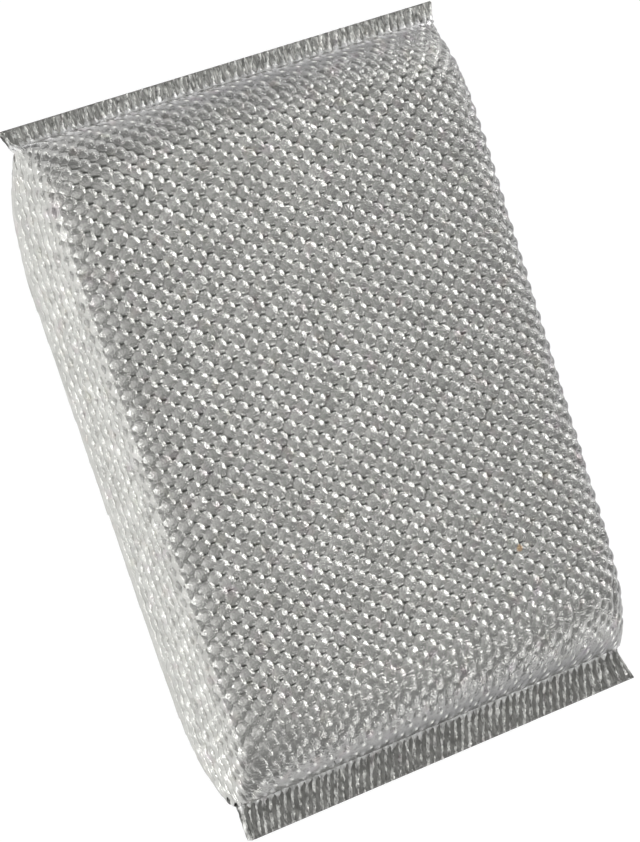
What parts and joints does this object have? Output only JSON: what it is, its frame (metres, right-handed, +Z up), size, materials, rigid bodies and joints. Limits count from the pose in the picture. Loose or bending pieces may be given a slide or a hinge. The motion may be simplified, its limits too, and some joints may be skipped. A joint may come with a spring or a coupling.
{
  "type": "scouring pad",
  "caption": "Flat rectangular scouring pad: a foam block in a tube of coarse silvery knit, its two ends pressed flat and welded into ribbed fins.",
  "frame": {"origin": "under the middle of the pad's body, on the surface that it rests on", "axes": "+X across the pad, +Y along it towards the narrower welded fin, +Z up out of its face"},
  "size_m": [0.086, 0.1202, 0.021],
  "materials": {
    "knit": "silvery metallised polyester tape, coarse knit, sparkling",
    "foam": "open-cell polyurethane foam, matt"
  },
  "bodies": {
    "root": {"knit_cover": "knit", "foam_core": "foam"}
  },
  "joints": []
}
